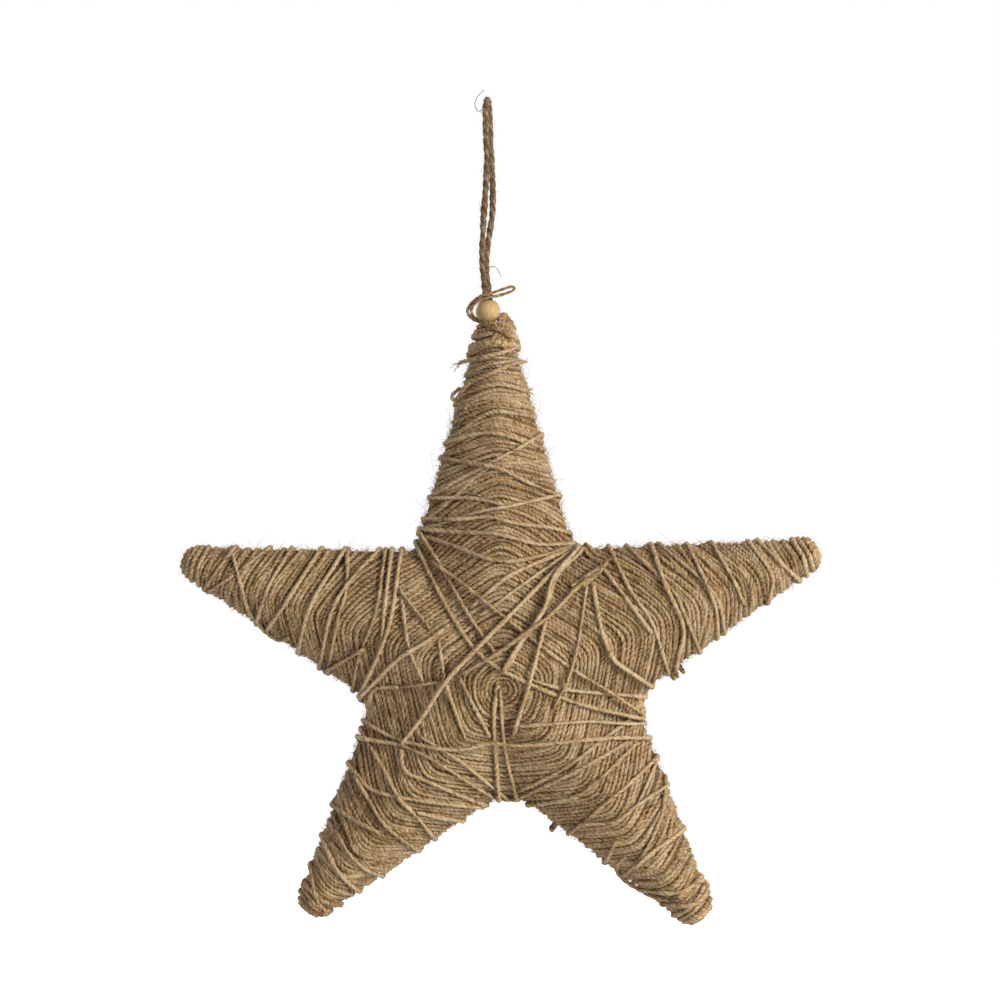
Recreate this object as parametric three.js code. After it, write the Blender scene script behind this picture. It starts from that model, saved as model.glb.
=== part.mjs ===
// Hanging star wound in jute twine, with a wooden bead and a loop of jute cord at its top point.
// Millimetres, +Z up, the star's front faces -Y. The origin is the inside of the loop's top,
// which is the point that rests on the hook, nail or twig that the star hangs from.

import * as THREE from 'three';

// Star: the middle of its hub, in the frame of the hanging point.
const STAR_CENTRE_X = 7;
const STAR_CENTRE_Z = -270;

// Arms, anticlockwise seen from the front: where the round end of each is centred, measured
// from the hub's middle across and up, and the radius of that end.
const ARM_ENDS = [
  { across: 143.9, up: 51.9, radius: 8.0 },
  { across: -3.6, up: 155.4, radius: 8.8 },
  { across: -145.0, up: 48.0, radius: 8.0 },
  { across: -87.4, up: -110.6, radius: 8.8 },
  { across: 90.2, up: -113.8, radius: 9.0 },
];

// Notches: the corner on the clockwise side of each arm above, and how round the twine leaves it.
const NOTCHES = [
  { across: 63.4, up: -15.4, fillet: 18 },
  { across: 34.1, up: 55.7, fillet: 6 },
  { across: -41.8, up: 54.7, fillet: 6 },
  { across: -62.6, up: -17.6, fillet: 15 },
  { across: 3.4, up: -59.0, fillet: 21 },
];

// Thickness: the hub is fullest, the faces fall from it to every edge, and the rim is round.
const HUB_HALF_THICKNESS = 28;
const EDGE_HALF_THICKNESS = 5.5;
const RIM_RADIUS = 8;
const FACE_FULLNESS = 0.9;
const RIDGE_SOFTNESS = 0.06;

// Mesh of the star: spokes to points along the rim, rings from the middle to the rim.
const STRAIGHT_STEP = 10;
const ROUND_STEP = 3.5;
const RINGS = 13;
const OUTLINE_SAMPLES = 1500;

// Bead: a turned ball with a drilled hole that takes both legs of the loop.
const BEAD_DIAMETER = 12;
const BEAD_HOLE_DIAMETER = 6.6;
const BEAD_CENTRE = new THREE.Vector3(0.2, 0, -100.3);
const BEAD_ARC_POINTS = 12;
const BEAD_SIDES = 24;

// Loop: one length of cord that leaves the star's top point, goes up through the bead,
// over the hanging point and back down through the bead.
const CORD_DIAMETER = 2.8;
const CORD_SIDES = 8;
const CORD_STEPS = 44;

// The loop is alike on both sides of a leaning middle line: each row gives the height, the middle
// line's place across, and how far each leg stands from it, across and to the back.
const LOOP_LEVELS = [
  { z: -105.5, middle: 0.2, across: 0.85, back: 1.35 },
  { z: -100.3, middle: 0.2, across: 0.85, back: 1.35 },
  { z: -93.5, middle: 0.1, across: 0.85, back: 1.35 },
  { z: -85.0, middle: -0.9, across: 0.85, back: 1.35 },
  { z: -76.5, middle: -1.6, across: 0.95, back: 1.3 },
  { z: -66.0, middle: -0.9, across: 1.4, back: 1.0 },
  { z: -54.0, middle: 0.2, across: 2.0, back: 1.1 },
  { z: -42.0, middle: 0.8, across: 1.7, back: 2.4 },
  { z: -30.0, middle: 0.8, across: 1.2, back: 4.0 },
  { z: -18.0, middle: 0.4, across: 1.0, back: 5.4 },
  { z: -10.0, middle: 0.1, across: 0.9, back: 6.0 },
  { z: -4.6, middle: 0, across: 0.9, back: 6.0 },
  { z: -1.6, middle: 0, across: 0.8, back: 5.2 },
  { z: 0.6, middle: 0, across: 0.45, back: 3.0 },
];
const LOOP_TOP_Z = CORD_DIAMETER / 2;

const JUTE_TWINE = new THREE.MeshStandardMaterial({ color: 0x876d4e, roughness: 0.95, metalness: 0 });
const JUTE_CORD = new THREE.MeshStandardMaterial({ color: 0x7e6a51, roughness: 0.95, metalness: 0 });
const BEAD_WOOD = new THREE.MeshStandardMaterial({ color: 0xbda06f, roughness: 0.6, metalness: 0 });

const armCentre = (arm) => new THREE.Vector2(arm.across, arm.up);
const notchCorner = (notch) => new THREE.Vector2(notch.across, notch.up);

// Angle, seen from an arm's end circle, of the point where the line from a notch corner touches it.
// The side is +1 where the line reaches the arm on its clockwise side and -1 on the other.
function touchAngle(corner, arm, side) {
  const toCorner = corner.clone().sub(armCentre(arm));
  return toCorner.angle() + side * Math.acos(arm.radius / toCorner.length());
}

const onCircle = (centre, radius, angle) =>
  new THREE.Vector2(centre.x + radius * Math.cos(angle), centre.y + radius * Math.sin(angle));

// Adds the round bottom of a notch between the lines that come from one arm and go to the next.
function addFillet(path, notch, fromPoint, toPoint) {
  const corner = notchCorner(notch);
  const back = fromPoint.clone().sub(corner).normalize();
  const ahead = toPoint.clone().sub(corner).normalize();
  const bisector = back.clone().add(ahead).normalize();
  const halfOpening = Math.acos(back.dot(ahead)) / 2;
  const centre = corner.clone().addScaledVector(bisector, notch.fillet / Math.sin(halfOpening));
  const touchLength = notch.fillet / Math.tan(halfOpening);
  const start = corner.clone().addScaledVector(back, touchLength).sub(centre).angle();
  const end = corner.clone().addScaledVector(ahead, touchLength).sub(centre).angle();
  path.absarc(centre.x, centre.y, notch.fillet, start, end, true);
}

// The two straight edges of every arm, both with the star on their left.
function armEdges() {
  return ARM_ENDS.map((arm, index) => {
    const corner = notchCorner(NOTCHES[index]);
    const nextCorner = notchCorner(NOTCHES[(index + 1) % NOTCHES.length]);
    const startAngle = touchAngle(corner, arm, 1);
    const endAngle = touchAngle(nextCorner, arm, -1);
    return {
      startAngle,
      endAngle,
      outward: [corner, onCircle(armCentre(arm), arm.radius, startAngle)],
      inward: [onCircle(armCentre(arm), arm.radius, endAngle), nextCorner],
    };
  });
}

// The star's outline, anticlockwise: each notch's fillet, then the arm after it with its round end.
function starOutline(edges) {
  const path = new THREE.Path();
  ARM_ENDS.forEach((arm, index) => {
    const before = edges[(index + edges.length - 1) % edges.length];
    addFillet(path, NOTCHES[index], before.inward[0], edges[index].outward[1]);
    path.absarc(arm.across, arm.up, arm.radius, edges[index].startAngle, edges[index].endAngle, false);
  });
  path.closePath();
  return path;
}

// Points along the rim, closer together on its round stretches.
function rimPoints(path) {
  return path.curves.flatMap((curve) => {
    const step = curve.isLineCurve ? STRAIGHT_STEP : ROUND_STEP;
    const count = Math.ceil(curve.getLength() / step);
    return Array.from({ length: count }, (unused, index) => curve.getPointAt(index / count));
  });
}

const nearestDistance = (point, line) =>
  line.reduce((least, other) => Math.min(least, point.distanceTo(other)), Infinity);

// How far a point lies to the left of an edge.
function edgeDistance(point, [from, to]) {
  const along = to.clone().sub(from).normalize();
  return along.cross(point.clone().sub(from));
}

// The arm whose share of the hub holds a point: the sector between the arm's two notches.
function armAt(point) {
  const turn = 2 * Math.PI;
  return NOTCHES.findIndex((notch, index) => {
    const start = notchCorner(notch).angle();
    const end = notchCorner(NOTCHES[(index + 1) % NOTCHES.length]).angle();
    const width = (end - start + turn) % turn;
    return (point.angle() - start + turn) % turn <= width;
  });
}

// How far up the faces a point lies: 0 on an arm's edges and 1 at the middle of the hub,
// eased where the arm's two faces meet, so that its ridge is soft.
function riseAt(point, edges) {
  const { outward, inward } = edges[armAt(point)];
  const middle = new THREE.Vector2(0, 0);
  const one = edgeDistance(point, outward) / edgeDistance(middle, outward);
  const other = edgeDistance(point, inward) / edgeDistance(middle, inward);
  const eased = (one + other - Math.sqrt((one - other) ** 2 + 4 * RIDGE_SOFTNESS * one * other)) / 2;
  return Math.max(eased / (1 - Math.sqrt(RIDGE_SOFTNESS)), 0);
}

// Half thickness of the star at a point: the slope of the faces, rounded off at the rim.
function halfThickness(point, edges, outline) {
  const rise = riseAt(point, edges) ** FACE_FULLNESS;
  const slope = EDGE_HALF_THICKNESS + (HUB_HALF_THICKNESS - EDGE_HALF_THICKNESS) * rise;
  const fromRim = Math.min(nearestDistance(point, outline) / RIM_RADIUS, 1);
  return slope * Math.sqrt(1 - (1 - fromRim) ** 2);
}

// The wound star as one solid: rings of points from the middle to the rim, front and back.
function makeStar() {
  const edges = armEdges();
  const path = starOutline(edges);
  const outline = path.getSpacedPoints(OUTLINE_SAMPLES);
  const rimLine = rimPoints(path);

  const positions = [];
  const addVertex = (point, height) => {
    positions.push(STAR_CENTRE_X + point.x, height, STAR_CENTRE_Z + point.y);
    return positions.length / 3 - 1;
  };
  const middle = new THREE.Vector2(0, 0);
  const middleFront = addVertex(middle, -HUB_HALF_THICKNESS);
  const middleBack = addVertex(middle, HUB_HALF_THICKNESS);
  const front = [];
  const back = [];
  for (let ring = 1; ring < RINGS; ring += 1) {
    const share = Math.sin((ring / RINGS) * (Math.PI / 2));
    const points = rimLine.map((point) => point.clone().multiplyScalar(share));
    const heights = points.map((point) => halfThickness(point, edges, outline));
    front.push(points.map((point, spoke) => addVertex(point, -heights[spoke])));
    back.push(points.map((point, spoke) => addVertex(point, heights[spoke])));
  }
  const rim = rimLine.map((point) => addVertex(point, 0));
  front.push(rim);
  back.push(rim);

  const triangles = [];
  for (let spoke = 0; spoke < rim.length; spoke += 1) {
    const next = (spoke + 1) % rim.length;
    triangles.push(middleFront, front[0][spoke], front[0][next]);
    triangles.push(middleBack, back[0][next], back[0][spoke]);
    for (let ring = 1; ring < RINGS; ring += 1) {
      const [inner, outer] = [front[ring - 1], front[ring]];
      triangles.push(inner[spoke], outer[spoke], outer[next], inner[spoke], outer[next], inner[next]);
      const [innerBack, outerBack] = [back[ring - 1], back[ring]];
      triangles.push(innerBack[spoke], outerBack[next], outerBack[spoke]);
      triangles.push(innerBack[spoke], innerBack[next], outerBack[next]);
    }
  }
  const geometry = new THREE.BufferGeometry();
  geometry.setAttribute('position', new THREE.Float32BufferAttribute(positions, 3));
  geometry.setIndex(triangles);
  geometry.computeVertexNormals();
  const mesh = new THREE.Mesh(geometry, JUTE_TWINE);
  mesh.name = 'star_body';
  return mesh;
}

// The bead: a ball's arc between the two mouths of the hole, closed by the hole's wall.
function makeBead() {
  const radius = BEAD_DIAMETER / 2;
  const holeRadius = BEAD_HOLE_DIAMETER / 2;
  const mouthAngle = Math.acos(holeRadius / radius);
  const profile = [];
  for (let index = 0; index <= BEAD_ARC_POINTS; index += 1) {
    const angle = -mouthAngle + (2 * mouthAngle * index) / BEAD_ARC_POINTS;
    profile.push(new THREE.Vector2(radius * Math.cos(angle), radius * Math.sin(angle)));
  }
  profile.push(profile[0].clone());
  const mesh = new THREE.Mesh(new THREE.LatheGeometry(profile, BEAD_SIDES), BEAD_WOOD);
  mesh.name = 'wooden_bead';
  mesh.rotation.x = Math.PI / 2;
  mesh.position.copy(BEAD_CENTRE);
  return mesh;
}

// The loop's route: up one leg, over the top and down the other leg.
function loopRoute() {
  const leg = (side) => LOOP_LEVELS.map(
    (level) => new THREE.Vector3(level.middle + side * level.across, side * level.back, level.z));
  return [...leg(-1), new THREE.Vector3(0, 0, LOOP_TOP_Z), ...leg(1).reverse()];
}

// The cord: a plain many-sided tube along the route.
function makeLoop() {
  const middle = new THREE.Vector2(0, 0);
  const corners = Array.from({ length: CORD_SIDES }, (unused, side) =>
    onCircle(middle, CORD_DIAMETER / 2, (side / CORD_SIDES) * 2 * Math.PI));
  const section = new THREE.Shape(corners);
  const route = new THREE.CatmullRomCurve3(loopRoute(), false, 'centripetal');
  const settings = { steps: CORD_STEPS, extrudePath: route, bevelEnabled: false };
  const mesh = new THREE.Mesh(new THREE.ExtrudeGeometry(section, settings), JUTE_CORD);
  mesh.name = 'hanging_loop';
  return mesh;
}

const hangingStar = new THREE.Group();
hangingStar.add(makeStar(), makeBead(), makeLoop());

export default hangingStar;
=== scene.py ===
"""Hanging star wound in jute twine: the looks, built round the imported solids."""
import math
import random

import bmesh
import bpy
from bpy.props import FloatProperty, FloatVectorProperty, IntProperty, PointerProperty
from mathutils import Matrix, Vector, noise
from mathutils.bvhtree import BVHTree


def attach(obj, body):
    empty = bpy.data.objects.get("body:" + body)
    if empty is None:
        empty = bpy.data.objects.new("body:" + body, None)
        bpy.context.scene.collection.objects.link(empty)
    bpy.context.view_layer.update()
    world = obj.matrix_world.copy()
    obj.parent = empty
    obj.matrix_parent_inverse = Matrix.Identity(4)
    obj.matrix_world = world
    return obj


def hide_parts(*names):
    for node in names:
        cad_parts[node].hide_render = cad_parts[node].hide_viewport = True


bl_info = {
    "name": "Jute Star",
    "version": (1, 0, 0),
    "blender": (4, 5, 0),
    "location": "3D View > Sidebar > Jute Star",
    "description": "Winds a hanging star in jute twine and hangs it by a cord with a wooden bead",
    "category": "Object",
}

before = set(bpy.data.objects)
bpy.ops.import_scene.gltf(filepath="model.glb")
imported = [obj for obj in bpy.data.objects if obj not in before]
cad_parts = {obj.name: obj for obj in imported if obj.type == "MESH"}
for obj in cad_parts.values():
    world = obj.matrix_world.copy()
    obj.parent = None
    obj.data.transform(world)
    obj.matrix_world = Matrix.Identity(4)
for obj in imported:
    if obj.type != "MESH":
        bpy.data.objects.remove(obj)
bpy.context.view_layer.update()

MM = 0.001
FULL_TURN = 2 * math.pi

# The star's plane. Its points are (across, up) in mm from the hub's middle.
HUB_X, HUB_Z = 7.0, -270.0

# The winding's own middle, below the hub's, round which its rounds lie.
WINDING_MIDDLE = Vector((0.6, -10.5))

# Middle of each arm's round end and its radius, anticlockwise from the right.
ARM_ENDS = {
    "right": (143.9, 51.9, 8.0),
    "top": (-3.6, 155.4, 8.8),
    "left": (-145.0, 48.0, 8.0),
    "lower_left": (-87.4, -110.6, 8.8),
    "lower_right": (90.2, -113.8, 9.0),
}

# How far the turns lean back from square across the arm, in degrees:
# on its clockwise side, on its other side.
ARM_LEANS = {
    "right": (22, 26),
    "top": (18, 23),
    "left": (16, 38),
    "lower_left": (19, 38),
    "lower_right": (36, 20),
}
HUB_LEAN, ARM_LEAN, TIP_LEAN = 36.0, 24.0, 12.0
HUB_EDGE, ARM_START, TIP_START = 60.0, 95.0, 112.0
RIDGE_ROUNDING = 5.0
LEAN_SPREAD = 13.0
STRAY, RISE = 0.75, 0.8
OVER_TURNS, HUB_OVER_TURNS = 14, 44
TIP_RINGS = {"right": 5, "top": 9, "left": 5, "lower_left": 5, "lower_right": 5}
TIP_GROWTH = {"right": 0.1, "top": 0.45, "left": 0.1, "lower_left": 0.25, "lower_right": 0.25}
LUMPS = 0.3
RIM_SWELL, RIM_FILL, RIM_BAND = 0.32, 0.24, 7 * MM
HUB_PIECES = {(1,): "winding_hub_front", (-1,): "winding_hub_back", (-1, 1): "winding_hub_rim"}

# The hanging loop's two legs, as in the CAD source, in mm: height, middle, half the spread across
# and half the spread front to back.
LOOP_LEVELS = (
    (-105.5, 0.2, 0.85, 1.35),
    (-100.3, 0.2, 0.85, 1.35),
    (-93.5, 0.1, 0.85, 1.35),
    (-85.0, -0.9, 0.85, 1.35),
    (-76.5, -1.6, 0.95, 1.3),
    (-66.0, -0.9, 1.4, 1.0),
    (-54.0, 0.2, 2.0, 1.1),
    (-42.0, 0.8, 1.7, 2.4),
    (-30.0, 0.8, 1.2, 4.0),
    (-18.0, 0.4, 1.0, 5.4),
    (-10.0, 0.1, 0.9, 6.0),
    (-4.6, 0.0, 0.9, 6.0),
    (-1.6, 0.0, 0.8, 5.2),
    (0.6, 0.0, 0.45, 3.0),
)
LOOP_TOP = (0.0, 0.0, 1.4)

# Twine crossing over the winding on the front, each as points in the star's plane.
WRAPS = {
    "top_arm": (
        ((18, 110), (8, 104), (-9, 95), (-22, 88), (-32, 82)),
        ((-25, 107), (-15, 110), (-5, 111), (5, 109), (10, 107)),
        ((-28, 99), (-11, 96), (-1, 94), (11, 88), (23, 83)),
        ((-32, 80), (-15, 80), (0, 77)),
        ((-35, 66), (-22, 70), (-9, 74), (3, 76), (16, 79), (25, 81)),
        ((-34, 70), (-20, 70), (-6, 71), (7, 68), (22, 66), (30, 64)),
        ((-36, 65), (-22, 64), (-3, 63), (9, 60), (18, 58), (29, 58)),
        ((-37, 62), (-22, 57), (-9, 52), (3, 50), (16, 52), (31, 56)),
    ),
    "left_arm": (
        ((-129, 54), (-125, 41), (-121, 26), (-115, 18)),
        ((-131, 52), (-143, 36)),
        ((-114, 54), (-124, 46)),
        ((-128, 43), (-138, 37)),
        ((-102, 54), (-111, 38), (-117, 22)),
        ((-89, 52), (-103, 30), (-111, 19)),
        ((-74, 54), (-74, 37), (-78, 22), (-83, -1)),
        ((-78, 51), (-90, 31), (-95, 17), (-97, 9)),
        ((-61, 53), (-72, 41), (-81, 26), (-87, 1)),
        ((-56, 54), (-60, 26), (-68, 5), (-71, -9)),
        ((-53, 54), (-56, 26), (-58, 9), (-67, -14)),
        ((-49, 49), (-54, 18), (-68, -14)),
        ((-65, 9), (-83, -2)),
        ((-49, -10), (-61, -11), (-64, -19)),
    ),
    "right_arm": (
        ((64, 53), (81, 36), (86, 26), (94, 8)),
        ((73, 53), (77, 40), (86, 19), (84, 3)),
        ((53, 53), (61, 36), (71, 21), (79, -2)),
        ((48, 47), (59, 32), (71, 16)),
        ((80, 54), (96, 40), (103, 30), (106, 18)),
        ((90, 55), (98, 37), (102, 26), (103, 15)),
        ((103, 54), (110, 41), (115, 30)),
        ((121, 55), (126, 48), (129, 41), (128, 33)),
        ((127, 55), (135, 47), (142, 41)),
        ((49, 8), (59, -2), (70, -9)),
    ),
    "lower_left_arm": (
        ((-70, -51), (-61, -59), (-36, -64), (-11, -68)),
        ((-70, -53), (-63, -64), (-55, -76), (-40, -89)),
        ((-65, -35), (-56, -49), (-49, -62), (-41, -71), (-33, -82)),
        ((-41, -69), (-31, -72), (-22, -74)),
        ((-78, -69), (-67, -75), (-58, -79)),
        ((-79, -79), (-73, -89), (-65, -97), (-58, -101)),
        ((-84, -87), (-78, -98), (-68, -109)),
        ((-91, -101), (-89, -110), (-85, -117)),
    ),
    "lower_right_arm": (
        ((78, -58), (76, -71), (68, -88), (59, -100)),
        ((85, -80), (72, -88), (63, -96)),
        ((95, -102), (84, -108), (67, -108)),
        ((50, -93), (54, -83)),
        ((72, -50), (64, -67)),
        ((81, -85), (69, -97)),
    ),
    "bottom_notch": (
        ((-48, -37), (-31, -45), (-6, -62), (4, -65)),
        ((-39, -33), (-21, -44), (1, -63)),
        ((-48, -39), (-46, -49), (-36, -54), (-21, -61), (-8, -67)),
        ((67, -22), (50, -33), (28, -49), (8, -60)),
        ((60, -36), (32, -51), (9, -63)),
        ((64, -37), (43, -56), (32, -63), (13, -67)),
        ((73, -45), (59, -57), (49, -65), (35, -78)),
        ((78, -58), (64, -66), (53, -74), (38, -75)),
    ),
    "hub": (
        ((-48, 35), (-44, 9), (-37, -8)),
        ((-49, 37), (-34, 18)),
        ((-30, 13), (-27, -6), (-22, -21), (-17, -35)),
        ((-20, -5), (-11, -23), (-6, -33)),
        ((-2, -7), (-4, -26), (-2, -58)),
        ((-1, -9), (1, -37), (7, -64)),
        ((14, -6), (32, -11), (67, -15)),
        ((-49, -10), (-29, -7)),
        ((-25, 20), (-36, 12), (-49, 4), (-64, -11)),
        ((-66, -27), (-48, -35), (-21, -39), (-6, -36), (11, -37), (50, -34), (72, -35)),
        ((6, -28), (21, -27), (40, -26), (54, -27), (69, -28)),
        ((-65, -35), (-48, -37)),
        ((47, -21), (67, -25)),
        ((31, 55), (11, 47), (0, 41), (-15, 28)),
        ((33, 55), (11, 40), (-4, 29), (-11, 24)),
        ((-37, 60), (-28, 46), (-16, 25), (-2, 5)),
        ((-41, 58), (-36, 47), (-26, 28), (-14, 10), (-2, 0), (18, -10), (38, -18), (66, -25)),
        ((-34, 50), (-22, 42), (-13, 35), (11, 16), (32, 0), (51, -12), (64, -21)),
        ((22, 27), (18, 12), (13, -7), (5, -33)),
        ((41, 44), (36, 12), (31, -6), (24, -20)),
        ((43, 40), (47, 18), (52, 5), (57, 0), (70, -9)),
        ((34, 54), (22, 43), (11, 32), (-9, 12), (-26, -6), (-38, -24), (-48, -37)),
        ((37, 54), (26, 43), (21, 29), (9, 11), (2, -1)),
        ((35, 55), (24, 42), (20, 28), (8, 11), (0, -2)),
        ((40, 42), (23, 25), (9, 15), (-2, 7), (-19, -3)),
    ),
}

# Loose twine in the star's plane: (across, up, lift off the surface), in mm.
LOOSE_ENDS = {
    "notch_stub_low": ((30, 33, 1.0), (36, 38, 2.2), (41, 42, 5.0)),
    "notch_stub_middle": ((33, 38, 1.0), (40, 43, 2.2), (46, 47, 4.5)),
    "notch_stub_high": ((38, 38, 0.8), (45, 44, 1.6), (50, 50, 4.0)),
    "lower_right_loop": ((84, -110, 1.0), (92, -104, 1.4), (96, -103, 2.4), (98.5, -106, 3.0),
                         (96, -110.5, 2.0), (91, -113.5, 1.4), (85, -114.5, 1.0), (76, -114.5, 0.6)),
    "lower_right_sling": ((59, -91, -1.5), (55, -95.2, 0.4), (55.8, -100.2, 1.4), (60, -104.2, 1.4),
                          (65.6, -107.8, 1.0), (71.8, -110.8, 0.6), (79, -112, -0.5)),
    "left_arm_sling": ((-118, 22, 0.8), (-115, 17.5, 1.5), (-111, 14.0, 1.5),
                       (-107, 11.8, 0.8), (-102, 13, 0.6)),
    "tip_ring": ((2, 155, 1.8), (6, 157, 1.6), (7.6, 154.5, 2.4), (5.5, 151.5, 2.4), (0, 149.5, 2.0),
                 (-8, 147.5, 1.6), (-14, 146.5, 1.6), (-20, 145, 2.0)),
    "tip_stub_right": ((-23, 124, 0.6), (-20.5, 129, 1.2), (-15, 135.5, 1.4), (-5, 139.5, 1.6),
                       (5, 144, 1.6), (10, 145.3, 2.0)),
    "tip_ring_left": ((-17, 123, -1.5), (-22, 126, 1.6), (-24, 129, 2.4), (-20, 133, 1.6)),
    "tip_band": ((-20, 129, 0.4), (-10, 133, 1.4), (0, 134, 1.6), (9, 132, 1.8), (11.5, 131.5, 2.4)),
    "tip_hump_1": ((-5, 154, 1.0), (-2, 160, 1.2), (-0.9, 165.5, 1.6),
                   (-0.2, 168, -1.0), (1, 164, -4.0), (0, 156, -4.0)),
    "tip_hump_2": ((-3, 153, 1.4), (-0.6, 160, 1.6), (0.6, 166, 1.2),
                   (1.4, 167.8, -0.6), (2, 163, -4.0), (2, 155, -4.0)),
    "tip_hump_3": ((-1, 152, 1.0), (1, 159, 1.4), (2, 164.6, 0.8),
                   (2.9, 166.4, -1.0), (3.2, 162, -4.0), (3, 154, -4.0)),
    "tip_hump_4": ((1, 150, 1.2), (2.8, 158, 1.2), (3.6, 163, 0.6),
                   (4.2, 164.4, -1.0), (4.4, 160, -3.5), (4, 152, -3.5)),
    "tip_hump_5": ((2.4, 149, 0.8), (4, 156, 0.6), (4.8, 160.4, 0.2),
                   (5.4, 161.8, -1.4), (5.4, 158, -3.0), (5, 151, -3.0)),
}
FRAYED_ENDS = (
    "notch_stub_low", "notch_stub_middle", "notch_stub_high", "tip_ring", "tip_stub_right", "tip_band")

# The tail of twine that is turned round the bead, and two dark curled fibres of the loop: x, y, z in mm.
BEAD_TAIL = (
    (13.0, -9.6, -114.2), (8.0, -12.2, -111.4), (2.4, -12.2, -108.4), (-2.6, -9.4, -106.2),
    (-6.6, -5.4, -104.6), (-9.2, -2.4, -101.8), (-9.3, -1.2, -99.0), (-7.0, -1.8, -95.8),
    (-3.4, -4.0, -93.4), (0.8, -5.0, -92.3), (4.6, -4.2, -91.0), (8.6, -3.2, -89.5),
    (11.8, -2.4, -88.6), (13.0, -2.2, -89.5), (11.6, -2.6, -90.8), (8.2, -3.4, -92.2),
    (4.4, -4.4, -93.2), (0.4, -5.4, -94.0), (-3.4, -4.6, -95.2), (-6.4, -2.8, -97.2),
    (-7.7, -2.2, -99.8), (-6.9, -3.8, -102.6), (-3.8, -7.8, -104.9), (1.2, -11.4, -106.9),
    (5.4, -12.4, -109.0),
)
LOOP_CURLS = (
    ((-1.4, -1.5, -3.2), (-4.1, -1.8, -4.5), (-6.0, -2.0, -2.2),
     (-5.5, -2.2, 1.1), (-4.1, -2.2, 3.3), (-1.7, -2.0, 5.7)),
    ((0.2, -1.5, -79.6), (3.1, -1.8, -78.8), (5.2, -2.0, -80.9), (6.5, -2.0, -83.8)),
)


def length_setting(name, description, usual, least, most):
    """A setting for a length, with its values here in mm."""
    return FloatProperty(
        name=name, description=description, default=usual * MM, min=least * MM, max=most * MM,
        precision=6, unit="LENGTH")


def colour_setting(name, description, usual):
    """A setting for a colour."""
    return FloatVectorProperty(
        name=name, description=description, default=usual, min=0, max=1, size=3, subtype="COLOR")


class JuteStarTwine(bpy.types.PropertyGroup):
    """Sizes and colours of the winding twine."""

    thickness: length_setting("Twine thickness", "Across the twine of the winding", 2.40, 0.5, 5)
    pitch: length_setting("Pitch", "From one turn of the winding to the next", 1.82, 0.5, 6)
    lay: length_setting("Lay", "Length of twine for one full twist of its two plies", 5.0, 1, 30)
    wrap_thickness: length_setting(
        "Wrap thickness", "Across the twine of the wraps that cross over the winding", 2.30, 0.5, 5)
    # The dark colour is also the painted shade in the hollows between strands and plies.
    dark: colour_setting("Dark fibres", "Colour in the hollows and of the darkest fibres", (0.082, 0.033, 0.003))
    middle: colour_setting("Jute", "Main colour of the twine", (0.285, 0.170, 0.063))
    pale: colour_setting("Pale fibres", "Colour of the palest fibres", (0.470, 0.347, 0.212))
    seed: IntProperty(
        name="Seed", description="Start of the random differences between the turns", default=11, min=0)


class JuteStarLoop(bpy.types.PropertyGroup):
    """Sizes and colours of the hanging loop and its bead."""

    thickness: length_setting("Cord thickness", "Across the hanging loop's cord", 2.8, 1, 8)
    length: FloatProperty(
        name="Cord length", description="Length of the hanging loop's cord",
        default=221.8 * MM, min=50 * MM, max=1, precision=5, unit="LENGTH")
    lay: length_setting("Cord lay", "Length of cord for one full twist of its plies", 15, 2, 40)
    middle: colour_setting("Cord", "Main colour of the cord", (0.102, 0.062, 0.027))
    bead_pale: colour_setting("Pale wood", "Colour of the bead's early wood", (0.450, 0.300, 0.128))
    bead_dark: colour_setting("Dark wood", "Colour of the bead's grain lines", (0.335, 0.208, 0.080))


class JuteStarFuzz(bpy.types.PropertyGroup):
    """Sizes of the loose hairs on the jute."""

    hairs: FloatProperty(
        name="Hairs", description="Hairs on each square centimetre of the star",
        default=12.0, min=0, max=60)
    hair_length: length_setting("Hair length", "Usual length of a hair", 2.0, 0.5, 30)
    hair_thickness: length_setting("Hair thickness", "Across a usual hair at its root", 0.13, 0.01, 1)
    seed: IntProperty(name="Seed", description="Start of the random places of the hairs", default=5, min=0)


class JuteStarStudio(bpy.types.PropertyGroup):
    """The camera and the light."""

    distance: FloatProperty(
        name="Camera distance", description="From the camera to the star's plane",
        default=1.6, min=0.3, max=10, unit="LENGTH")
    view_width: FloatProperty(
        name="View width", description="Width of what the camera sees in the star's plane",
        default=0.48, min=0.05, max=5, unit="LENGTH")
    key_power: FloatProperty(
        name="Side light", description="Power of the large soft light at the right",
        default=34.0, min=0, unit="POWER")
    back_power: FloatProperty(
        name="Back light", description="Power of the soft light behind the star",
        default=17.0, min=0, unit="POWER")
    fill: FloatProperty(
        name="Fill", description="Strength of the even light from all round", default=0.45, min=0, max=5)
    floor_drop: FloatProperty(
        name="Floor", description="Height of the floor below the hanging point",
        default=0.56, min=0.4, max=3, unit="LENGTH")


class Arm:
    """One arm of the star: where it points, how far it reaches and how its turns lean."""

    def __init__(self, name):
        across, up, radius = ARM_ENDS[name]
        end = Vector((across, up)) - WINDING_MIDDLE
        self.name = name
        self.axis = end.normalized()
        self.square = Vector((-self.axis.y, self.axis.x))
        self.angle = math.atan2(end.y, end.x) % FULL_TURN
        self.reach = end.length + radius
        self.leans = ARM_LEANS[name]
        self.sector = [0.0, 0.0]


def star_arms():
    """The five arms, anticlockwise, each with the angles to the valleys beside it."""
    arms = [Arm(name) for name in ARM_ENDS]
    for arm, after in zip(arms, arms[1:] + arms[:1]):
        half = ((after.angle - arm.angle) % FULL_TURN) / 2
        arm.sector[1] = half
        after.sector[0] = half
    return arms


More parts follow.
